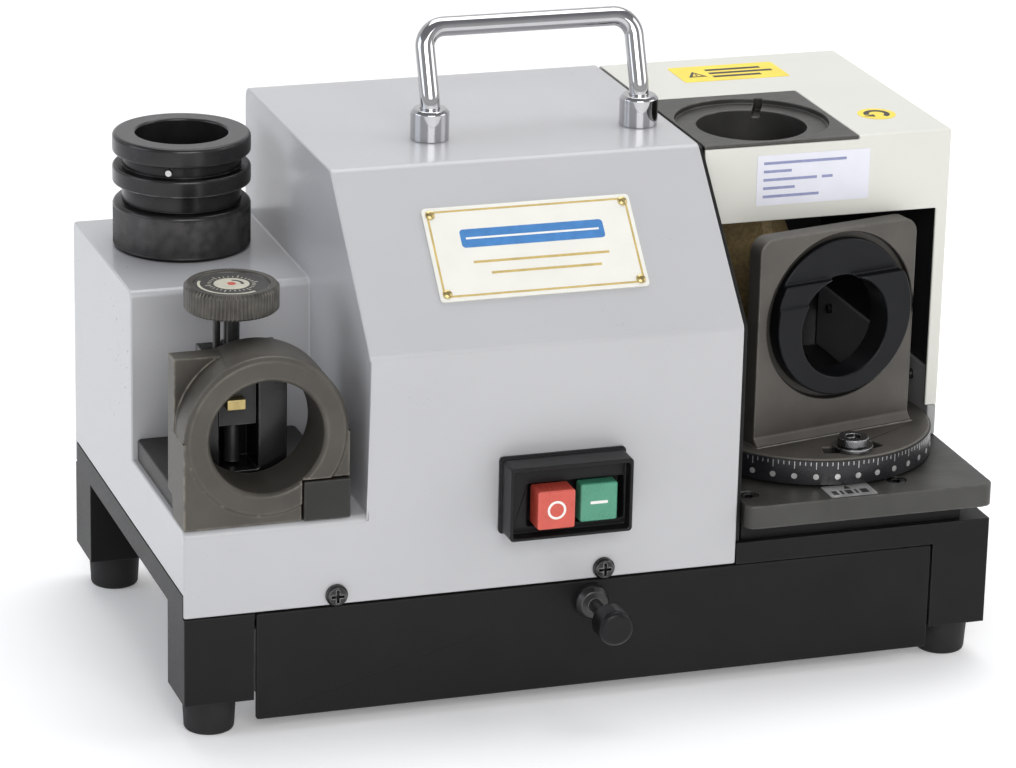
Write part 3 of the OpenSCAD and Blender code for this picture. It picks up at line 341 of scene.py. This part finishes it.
LEAST_AREA, MOST_AREA, MOST_AREA_LAST = 0.9, 1.0, 1.003


def shown_area(obj):
    """The area of an object's faces after its modifiers."""
    bpy.context.view_layer.update()
    ready = obj.evaluated_get(bpy.context.evaluated_depsgraph_get())
    mesh = ready.to_mesh()
    mesh.calc_loop_triangles()
    area = sum(triangle.area for triangle in mesh.loop_triangles)
    ready.to_mesh_clear()
    return area


def round_edges(obj, width):
    """Joins the split corners, clears flat seams, rounds the sharp edges and weighs the normals.

    Rounding takes a little area off. If a corner style or width adds area, a face has folded, so the next
    one is tried. Only the smallest width may add a little, up to MOST_AREA_LAST times the plain area. A
    node that fits none of them isn't rounded.
    """
    plain = shown_area(obj)
    weld = obj.modifiers.new("weld", "WELD")
    weld.merge_threshold = WELD_REACH
    flat = obj.modifiers.new("flat", "DECIMATE")
    flat.decimate_type = "DISSOLVE"
    flat.angle_limit = FLAT_ANGLE
    bevel = obj.modifiers.new("round", "BEVEL")
    bevel.segments = 3
    bevel.limit_method = "ANGLE"
    bevel.angle_limit = SHARP_ANGLE
    bevel.use_clamp_overlap = False
    tries = [(share, corner) for share in WIDTH_SHARES for corner in ("MITER_ARC", "MITER_SHARP")]
    for share, corner in tries:
        bevel.width = width * share
        bevel.miter_outer = corner
        most = MOST_AREA_LAST if share == WIDTH_SHARES[-1] else MOST_AREA
        if plain * LEAST_AREA < shown_area(obj) <= plain * most:
            break
    else:
        obj.modifiers.remove(bevel)
        obj.modifiers.remove(flat)
    normals = obj.modifiers.new("normals", "WEIGHTED_NORMAL")
    normals.weight = 80


for node_name, node in frame["nodes"].items():
    slot_name = SLOT_OF[node_name]
    while len(node.data.materials) < 1:
        node.data.materials.append(None)
    for material_slot in node.material_slots:
        material_slot.link = "OBJECT"
        material_slot.material = FINISH[slot_name]
    if node_name in ROUNDING_MM:
        round_edges(node, ROUNDING_MM[node_name] * MM)


# ---- mesh helpers ----

def add_piece(name, points, faces, body, materials, marks=None, matrix=None, replaced=()):
    """A new piece from points in millimetres and faces. marks gives each face's material."""
    mesh = bpy.data.meshes.new(name)
    mesh.from_pydata([Vector(p) * MM for p in points], [], faces)
    mesh.validate()
    if matrix is not None:
        mesh.transform(matrix)
    for material in materials:
        mesh.materials.append(material)
    if marks and len(marks) == len(mesh.polygons):
        mesh.polygons.foreach_set("material_index", marks)
    obj = bpy.data.objects.new(name, mesh)
    scene.collection.objects.link(obj)
    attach(obj, body)
    if replaced:
        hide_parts(*replaced)
    return obj


def smooth(obj, angle=30):
    obj.data.polygons.foreach_set("use_smooth", [True] * len(obj.data.polygons))
    obj.data.set_sharp_from_angle(angle=math.radians(angle))


def lathe(profile, steps, ripple=None):
    """Points and faces of a closed outline of (radius, height) turned about Z."""
    points = []
    for step in range(steps):
        a = 2 * math.pi * step / steps
        for r, z in profile:
            if ripple:
                r = r + ripple(a, r, z)
            points.append((r * math.cos(a), r * math.sin(a), z))
    n = len(profile)
    faces = [(s * n + i, ((s + 1) % steps) * n + i, ((s + 1) % steps) * n + (i + 1) % n, s * n + (i + 1) % n)
             for s in range(steps) for i in range(n)]
    return points, faces


def axis_frame(origin, u, v):
    """Matrix from local millimetre axes u, v and their normal to the row frame."""
    u, v = Vector(u).normalized(), Vector(v).normalized()
    n = u.cross(v)
    m = Matrix((u, v, n)).transposed().to_4x4()
    m.translation = Vector(origin)
    return m


def prism(outline, low, high):
    """Points and faces of a flat outline between two heights."""
    n = len(outline)
    points = [(x, y, low) for x, y in outline] + [(x, y, high) for x, y in outline]
    faces = [tuple(range(n - 1, -1, -1)), tuple(range(n, 2 * n))]
    faces += [(i, (i + 1) % n, n + (i + 1) % n, n + i) for i in range(n)]
    return points, faces


def panel(x0, y0, x1, y1, r=0.0, steps=4):
    """A rectangle outline with rounded corners."""
    if r <= 0:
        return [(x0, y0), (x1, y0), (x1, y1), (x0, y1)]
    out = []
    corners = ((x1 - r, y0 + r, -90), (x1 - r, y1 - r, 0), (x0 + r, y1 - r, 90), (x0 + r, y0 + r, 180))
    for cx, cy, start in corners:
        for i in range(steps + 1):
            a = math.radians(start + 90 * i / steps)
            out.append((cx + r * math.cos(a), cy + r * math.sin(a)))
    return out


def disc(r, steps):
    """A round outline."""
    turn = [2 * math.pi * i / steps for i in range(steps)]
    return [(r * math.cos(a), r * math.sin(a)) for a in turn]


def arc_band(r0, r1, start, end, steps):
    """An outline of part of a flat ring, angles in degrees."""
    turn = [math.radians(start + (end - start) * i / steps) for i in range(steps + 1)]
    outer = [(r1 * math.cos(a), r1 * math.sin(a)) for a in turn]
    inner = [(r0 * math.cos(a), r0 * math.sin(a)) for a in reversed(turn)]
    return outer + inner


def printed(name, body, place, layers, materials):
    """A thin film with raised print. layers holds (outline, low, high, material number) in millimetres."""
    points, faces, marks = [], [], []
    for outline, low, high, mark in layers:
        p, f = prism(outline, low, high)
        base = len(points)
        points += p
        faces += [tuple(base + i for i in face) for face in f]
        marks += [mark] * len(f)
    add_piece(name, points, faces, body, materials, marks, place)


# ---- handle: one bent bar ----

collar_low, collar_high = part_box("handle_collars")
COLLAR_R = 7.45
leg_x = (collar_high.x - collar_low.x) / 2 / MM - COLLAR_R
leg_y = (collar_high.y + collar_low.y) / 2 / MM
deck = collar_low.z / MM
BAR_R, ELBOW_R, CORNER_R, RISE = 3.75, 14.0, 8.0, 25.0
LEAN, ELBOW_Z, LEG_FOOT = math.radians(22), 12.2, 0.7


def handle_path():
    """Centre line of the handle: up a leg, leaning back, along the bar and down the other leg."""
    half = [(leg_x, 0.0, LEG_FOOT), (leg_x, 0.0, ELBOW_Z)]
    for i in range(1, 9):
        a = LEAN * i / 8
        half.append((leg_x, ELBOW_R * (1 - math.cos(a)), ELBOW_Z + ELBOW_R * math.sin(a)))

    def leaned(x, up):
        back = ELBOW_R * (1 - math.cos(LEAN)) + up * math.sin(LEAN)
        return (x, back, ELBOW_Z + ELBOW_R * math.sin(LEAN) + up * math.cos(LEAN))

    half.append(leaned(leg_x, RISE - CORNER_R))
    for i in range(1, 13):
        a = math.pi / 2 * i / 12
        half.append(leaned(leg_x - CORNER_R * (1 - math.cos(a)), RISE - CORNER_R + CORNER_R * math.sin(a)))
    return half + [(-x, y, z) for x, y, z in reversed(half)]


def sweep_tube(path, r, steps=32):
    """Points and faces of a closed round bar along a path."""
    centres = [Vector(p) for p in path]
    points, side = [], Vector((0, 1, 0))
    for i, c in enumerate(centres):
        ahead = centres[min(i + 1, len(centres) - 1)] - centres[max(i - 1, 0)]
        ahead.normalize()
        side = (side - ahead * side.dot(ahead)).normalized()
        other = ahead.cross(side)
        for s in range(steps):
            a = 2 * math.pi * s / steps
            points.append(c + side * (r * math.cos(a)) + other * (r * math.sin(a)))
    faces = []
    for k in range(len(centres) - 1):
        for s in range(steps):
            near, far, after = k * steps, (k + 1) * steps, (s + 1) % steps
            faces.append((near + s, near + after, far + after, far + s))
    faces.append(tuple(range(steps - 1, -1, -1)))
    faces.append(tuple(range((len(centres) - 1) * steps, len(centres) * steps)))
    return points, faces


points, faces = sweep_tube([(x, leg_y + y, deck + z) for x, y, z in handle_path()], BAR_R)
handle = add_piece("handle_bent_bar", points, faces, "frame", [FINISH["chrome"]],
                   replaced=("handle_bar",))
smooth(handle)


# ---- knurled chuck nut and fluted dial ----

def knurl(teeth, height_low, height_high, depth, radius):
    """Diamond knurl cut into an outside face."""
    pitch = 2 * math.pi * radius / teeth

    def ripple(a, r, z):
        if r < radius - 0.2 or not height_low < z < height_high:
            return 0.0
        fade = min(1.0, (z - height_low) / 0.5, (height_high - z) / 0.5)
        first = abs(math.sin(math.pi * (a * radius + z) / pitch))
        second = abs(math.sin(math.pi * (a * radius - z) / pitch))
        return -depth * fade * (1 - first * second)

    return ripple


nut_low, nut_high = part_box("chuck_nut")
nut_c = (nut_low + nut_high) / 2 / MM
nut_r = (nut_high.x - nut_low.x) / 2 / MM
nut_z0, nut_z1 = nut_low.z / MM, nut_high.z / MM
NUT_BORE_R, KNURL_TEETH, KNURL_DEPTH, KNURL_ROWS = 22.15, 144, 0.32, 66
ROUND_STEPS = 720
knurl_z0, knurl_z1 = nut_z0 + 1.2, nut_z1 - 1.6
side_rows = [(nut_r, knurl_z0 + (knurl_z1 - knurl_z0) * i / KNURL_ROWS) for i in range(KNURL_ROWS + 1)]
profile = [(NUT_BORE_R, nut_z0), (nut_r - 1.0, nut_z0), (nut_r - 0.3, nut_z0 + 0.3)] + side_rows + [
    (nut_r - 0.35, nut_z1 - 0.8), (nut_r - 1.2, nut_z1), (NUT_BORE_R, nut_z1)]
points, faces = lathe(profile, ROUND_STEPS, knurl(KNURL_TEETH, knurl_z0, knurl_z1, KNURL_DEPTH, nut_r))
points = [(x + nut_c.x, y + nut_c.y, z) for x, y, z in points]
nut = add_piece("chuck_nut_knurled", points, faces, "chuck_nut", [FINISH["black_oxide"]],
                replaced=("chuck_nut",))
smooth(nut, 50)

dial_low, dial_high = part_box("dial_knob")
dial_c = (dial_low + dial_high) / 2 / MM
dial_r = (dial_high.x - dial_low.x) / 2 / MM
dial_z0, dial_z1 = dial_low.z / MM, dial_high.z / MM
DIAL_HOLE_R, DIAL_RIM, DIAL_DISH, FLUTES, FLUTE_DEPTH = 3.05, 3.8, 0.8, 72, 0.35


def flutes(a, r, z):
    """Shallow rounded grooves in the rim of the dial."""
    if r < dial_r - 1.4:
        return 0.0
    return -FLUTE_DEPTH * max(0.0, math.cos(a * FLUTES)) ** 0.7


dish_z = dial_z1 - DIAL_DISH
profile = [(DIAL_HOLE_R, dial_z0), (dial_r - 0.8, dial_z0), (dial_r, dial_z0 + 0.8),
           (dial_r, (dial_z0 + dial_z1) / 2), (dial_r, dial_z1 - 1.2), (dial_r - 1.2, dial_z1),
           (dial_r - DIAL_RIM + 0.6, dial_z1), (dial_r - DIAL_RIM + 0.2, dial_z1 - 0.3),
           (dial_r - DIAL_RIM, dish_z), (5.0, dish_z), (DIAL_HOLE_R, dish_z), (DIAL_HOLE_R, dial_z0 + 6.0)]
points, faces = lathe(profile, ROUND_STEPS, flutes)
points = [(x + dial_c.x, y + dial_c.y, z) for x, y, z in points]
dial = add_piece("dial_knob_fluted", points, faces, "dial", [FINISH["dial_black"]],
                 replaced=("dial_knob",))
smooth(dial, 35)


# ---- printed films ----

plate_low, plate_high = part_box("nameplate")
table_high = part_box("table_plate")[1]

# bottom and top of each layer in millimetres, and how far a film stands off its surface in metres
FILM, INK, THIN_INK = (0.0, 0.12), (0.1, 0.16), (0.1, 0.15)
FACE_INK, PLATE_INK, SYMBOL_INK = (0.1, 0.18), (-0.02, 0.05), (-0.02, 0.09)
FILM_LIFT = 0.00002

# dial label: a dark face with pale divisions and a pale arc, and a pale centre with a dark arc and a red spot
DIAL_MARKS, MARK_R, HALF_MARK = 30, 7.6, 0.16


def dial_mark(k):
    """The outline of a division on the dial, longer at every fifth."""
    a = 2 * math.pi * k / DIAL_MARKS
    end = MARK_R + (2.4 if k % 5 == 0 else 1.3)
    corners = ((MARK_R, -HALF_MARK), (end, -HALF_MARK), (end, HALF_MARK), (MARK_R, HALF_MARK))
    return [(r * math.cos(a) - w * math.sin(a), r * math.sin(a) + w * math.cos(a)) for r, w in corners]


layers = [(disc(13.5, 64), -0.05, 0.12, 1),
          (disc(6.6, 48), *FACE_INK, 0),
          (disc(1.6, 24), 0.16, 0.3, 2),
          (arc_band(11.6, 12.6, 150, 300, 40), *FACE_INK, 0),
          (arc_band(3.4, 4.6, -20, 75, 16), 0.16, 0.2, 1)]
layers += [(dial_mark(k), *FACE_INK, 0) for k in range(DIAL_MARKS)]
place = axis_frame(Vector((dial_c.x, dial_c.y, dish_z)) * MM, (1, 0, 0), (0, 1, 0))
printed("dial_label", "dial", place, layers,
        [PRINT["dial_face"], PRINT["ink_black"], PRINT["ink_red"]])

# warning film on the hood top: a triangle sign and plain bars
WARNING_X, WARNING_Y = 0.1041, 0.0775
place = axis_frame((WARNING_X, WARNING_Y, hood_high.z + FILM_LIFT), (1, 0, 0), (0, 1, 0))
layers = [(panel(-22.4, -11, 22.4, 11, 1.2), *FILM, 0)]
layers += [(panel(-8.5, y, end, y + 2.4), *INK, 1)
           for y, end in ((3.2, 15.0), (-1.6, 18.5), (-6.4, 12.0))]
layers += [([(-18.5, -4.5), (-10.5, -4.5), (-14.5, 3.2)], *INK, 1),
           ([(-16.6, -3.4), (-12.4, -3.4), (-14.5, 0.8)], 0.15, 0.2, 0),
           (panel(-14.85, -2.9, -14.15, -0.6), 0.19, 0.24, 1)]
printed("warning_film", "frame", place, layers, [FINISH["label_yellow"], PRINT["ink_black"]])

# round film with a turning arrow
ROTATION_X, ROTATION_Y = 0.1384, 0.0055
place = axis_frame((ROTATION_X, ROTATION_Y, hood_high.z + FILM_LIFT), (1, 0, 0), (0, 1, 0))
head = math.radians(200)
layers = [(disc(7.5, 48), *FILM, 0), (arc_band(3.0, 5.2, -60, 190, 28), *INK, 1),
          ([(1.6 * math.cos(head), 1.6 * math.sin(head)), (6.6 * math.cos(head), 6.6 * math.sin(head)),
            (4.4 * math.cos(head + 0.75), 4.4 * math.sin(head + 0.75))], *INK, 1)]
printed("rotation_film", "frame", place, layers, [FINISH["label_yellow"], PRINT["ink_black"]])

# data film on the hood front: plain bars
DATA_X, DATA_Z = 0.10175, 0.18315
place = axis_frame((DATA_X, hood_low.y - FILM_LIFT, DATA_Z), (1, 0, 0), (0, 0, 1))
layers = [(panel(-23.2, -10, 23.2, 10, 0.6), *FILM, 0)]
layers += [(panel(-20.5, y, end, y + 1.1), *THIN_INK, 1)
           for y, end in ((6.2, 13.5), (2.9, -9.0), (-0.4, 1.5), (-3.7, -7.5), (-7.0, 2.5))]
layers.append((panel(3.5, -0.4, 8.0, 0.7), *THIN_INK, 1))
printed("data_film", "frame", place, layers, [FINISH["label_white"], PRINT["ink_slate"]])

# nameplate print: gold border lines, one plain blue panel and fine rules
slope = math.atan2(plate_high.z - plate_low.z, plate_high.y - plate_low.y)
normal = Vector((0, -math.sin(slope), math.cos(slope)))
HALF_PLATE = 0.46
middle = (plate_low + plate_high) / 2 + normal * (HALF_PLATE * MM)
place = axis_frame(middle, (1, 0, 0), (0, math.cos(slope), math.sin(slope)))
layers = []
BORDER_X, BORDER_Y, BORDER_WIDE = 39.2, 17.9, 0.8
inner_x, inner_y = BORDER_X - BORDER_WIDE, BORDER_Y - BORDER_WIDE
for x0, y0, x1, y1 in ((-BORDER_X, -BORDER_Y, BORDER_X, -inner_y), (-BORDER_X, inner_y, BORDER_X, BORDER_Y),
                       (-BORDER_X, -inner_y, -inner_x, inner_y), (inner_x, -inner_y, BORDER_X, inner_y)):
    layers.append((panel(x0, y0, x1, y1), *PLATE_INK, 0))
layers += [(panel(-28.0, 2.0, 28.0, 9.6, 1.4), *PLATE_INK, 1), (panel(-26.0, 5.4, 26.0, 6.2), 0.04, 0.08, 2),
           (panel(-25.0, -4.6, 28.0, -3.6), *PLATE_INK, 0), (panel(-19.0, -9.4, 24.0, -8.4), *PLATE_INK, 0)]
printed("nameplate_print", "frame", place, layers,
        [PRINT["ink_gold"], PRINT["ink_blue"], PRINT["ink_white"]])

# index film on the table in front of the scale
INDEX_X, INDEX_Y = 0.1015, -0.0716
place = axis_frame((INDEX_X, INDEX_Y, table_high.z + FILM_LIFT), (1, 0, 0), (0, 1, 0))
layers = [(panel(-9.5, -6, 9.5, 6, 0.8), *FILM, 0), ([(-1.4, 1.6), (1.4, 1.6), (0, 5.2)], *INK, 1)]
layers += [(panel(x, -3.6, x + w, 0.4), *THIN_INK, 1)
           for x, w in ((-7.5, 2.2), (-4.2, 1.0), (-2.0, 2.6), (1.8, 1.0), (4.0, 3.0))]
printed("index_film", "frame", place, layers, [PRINT["ink_silver"], PRINT["ink_black"]])

# symbols on the two buttons
for label, colour in (("stop", "red_plastic"), ("start", "green_plastic")):
    node_name = label + "_button"
    low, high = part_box(node_name)
    cx, cz = (low.x + high.x) / 2, (low.z + high.z) / 2
    place = axis_frame((cx, low.y - FILM_LIFT / 2, cz), (1, 0, 0), (0, 0, 1))
    if label == "stop":
        layers = [(arc_band(2.7, 3.6, start, start + 90.5, 10), *SYMBOL_INK, 0)
                  for start in (0, 90, 180, 270)]
    else:
        layers = [(panel(-3.4, -0.55, 3.4, 0.55, 0.3), *SYMBOL_INK, 0)]
    printed(label + "_symbol", node_name, place, layers, [PRINT["ink_white"]])


# ---- divisions on the swivel scale ----

pivot_low, pivot_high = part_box("pivot_pin")
pivot = (pivot_low + pivot_high) / 2 / MM
BAND_R, BAND_Z0, BAND_Z1 = 47.92, 74.0, 83.4
SCALE_MIDDLE = -90 + 12.0
points, faces = [], []


def on_band(angle, z, out):
    a = math.radians(angle)
    return (pivot.x + (BAND_R + out) * math.cos(a), pivot.y + (BAND_R + out) * math.sin(a), z)


def band_mark(angle, wide, z0, z1):
    """A raised mark on the band, wide degrees across."""
    base = len(points)
    for out in (-0.02, 0.08):
        first, last = angle - wide / 2, angle + wide / 2
        points.extend([on_band(first, z0, out), on_band(last, z0, out), on_band(last, z1, out),
                       on_band(first, z1, out)])
    faces.extend([tuple(base + i for i in face) for face in
                  ((3, 2, 1, 0), (4, 5, 6, 7), (0, 1, 5, 4), (1, 2, 6, 5), (2, 3, 7, 6), (3, 0, 4, 7))])


def band_dot(angle, z, r, steps=14):
    """A raised round mark on the band."""
    base = len(points)
    for out in (-0.02, 0.1):
        for i in range(steps):
            t = 2 * math.pi * i / steps
            points.append(on_band(angle + math.degrees(r * math.cos(t) / BAND_R), z + r * math.sin(t), out))
    faces.append(tuple(base + steps + i for i in range(steps)))
    faces.append(tuple(base + i for i in reversed(range(steps))))
    faces.extend([(base + i, base + (i + 1) % steps, base + steps + (i + 1) % steps, base + steps + i)
                  for i in range(steps)])


for k in range(-25, 26):
    band_mark(SCALE_MIDDLE + k * 2.5, 0.35, BAND_Z1 - (3.2 if k % 4 == 0 else 1.8), BAND_Z1 - 0.3)
for k in range(-6, 7):
    band_dot(SCALE_MIDDLE + k * 10, BAND_Z0 + 3.2, 1.15)
add_piece("scale_divisions", points, faces, "point_seat", [PRINT["ink_silver"]])


# ---- floor, light and camera ----

floor_paint = finish_of("floor_paper", (0.93, 0.93, 0.93), 0.65, tint=0.01, patch=0.4, grain=0.002,
                        depth=0.000005, strength=0.1)
FLOOR_GLOW = 0.16
glow = floor_paint.node_tree.nodes["Principled BSDF"]
glow.inputs["Emission Color"].default_value = (1.0, 1.0, 1.0, 1.0)
glow.inputs["Emission Strength"].default_value = FLOOR_GLOW
HALF_FLOOR, FRONT_END, SWEEP_START, SWEEP_R, WALL_TOP = 5.0, -4.0, 1.6, 0.8, 4.0
sweep = [math.radians(a) for a in range(10, 91, 10)]
curve = [(FRONT_END, 0.0), (SWEEP_START, 0.0)]
curve += [(SWEEP_START + SWEEP_R * math.sin(a), SWEEP_R - SWEEP_R * math.cos(a)) for a in sweep]
curve.append((SWEEP_START + SWEEP_R, WALL_TOP))
points = [(x, y, z) for x in (-HALF_FLOOR, HALF_FLOOR) for y, z in curve]
n = len(curve)
mesh = bpy.data.meshes.new("floor")
mesh.from_pydata(points, [], [(i, n + i, n + i + 1, i + 1) for i in range(n - 1)])
mesh.materials.append(floor_paint)
floor = bpy.data.objects.new("floor", mesh)
scene.collection.objects.link(floor)
mesh.polygons.foreach_set("use_smooth", [True] * len(mesh.polygons))
floor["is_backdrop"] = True

LOW_SKY, HIGH_SKY, SKY_STRENGTH = (1.0, 1.0, 1.0, 1.0), (0.42, 0.43, 0.45, 1.0), 0.62
world = bpy.data.worlds.new("studio")
scene.world = world
world.use_nodes = True
sky = world.node_tree
background = sky.nodes["Background"]
height = sky.nodes.new("ShaderNodeSeparateXYZ")
sky.links.new(sky.nodes.new("ShaderNodeTexCoord").outputs["Generated"], height.inputs[0])
fade = sky.nodes.new("ShaderNodeValToRGB")
fade.color_ramp.elements[0].position = 0.05
fade.color_ramp.elements[0].color = LOW_SKY
fade.color_ramp.elements[1].position = 0.75
fade.color_ramp.elements[1].color = HIGH_SKY
sky.links.new(height.outputs[2], fade.inputs[0])
sky.links.new(fade.outputs[0], background.inputs["Color"])
background.inputs["Strength"].default_value = SKY_STRENGTH


def area_light(name, location, target, size, power, colour=(1, 1, 1)):
    data = bpy.data.lights.new(name, "AREA")
    data.shape = "RECTANGLE"
    data.size, data.size_y = size
    data.energy = power
    data.color = colour
    lamp = bpy.data.objects.new(name, data)
    scene.collection.objects.link(lamp)
    lamp.location = location
    lamp.rotation_mode = "QUATERNION"
    lamp.rotation_quaternion = (Vector(target) - Vector(location)).to_track_quat("-Z", "Y")
    lamp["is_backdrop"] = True


area_light("key", (-0.25, -1.75, 1.0), (0, 0, 0.1), (1.3, 0.9), 17.5)
area_light("top", (0.25, 0.4, 1.5), (0.05, 0, 0.1), (1.4, 1.0), 13)
area_light("right", (1.4, -0.5, 0.8), (0, 0, 0.1), (0.9, 0.9), 5)
area_light("left", (-1.5, 0.1, 0.7), (0, 0, 0.1), (1.0, 0.8), 5.2, (0.80, 0.87, 1.0))

SENSOR_MM, LENS_MM, ROLL = 36.0, 156.86, math.radians(1.31)
CAMERA_PLACE, CAMERA_AIM = (-0.5289, -1.5275, 0.6637), (0.3024, 0.8946, -0.3289)
camera_data = bpy.data.cameras.new("camera")
camera_data.sensor_width = SENSOR_MM
camera_data.lens = LENS_MM
camera = bpy.data.objects.new("camera", camera_data)
scene.collection.objects.link(camera)
forward = Vector(CAMERA_AIM).normalized()
right = forward.cross(Vector((0, 0, 1))).normalized()
up = right.cross(forward)
camera_right = right * math.cos(ROLL) + up * math.sin(ROLL)
camera_up = up * math.cos(ROLL) - right * math.sin(ROLL)
pose = Matrix((camera_right, camera_up, -forward)).transposed().to_4x4()
pose.translation = Vector(CAMERA_PLACE)
camera.matrix_world = pose
camera_data.clip_start, camera_data.clip_end = 0.05, 30.0
scene.camera = camera
scene.view_settings.view_transform = "Standard"
scene.view_settings.look = "None"

low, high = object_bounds()
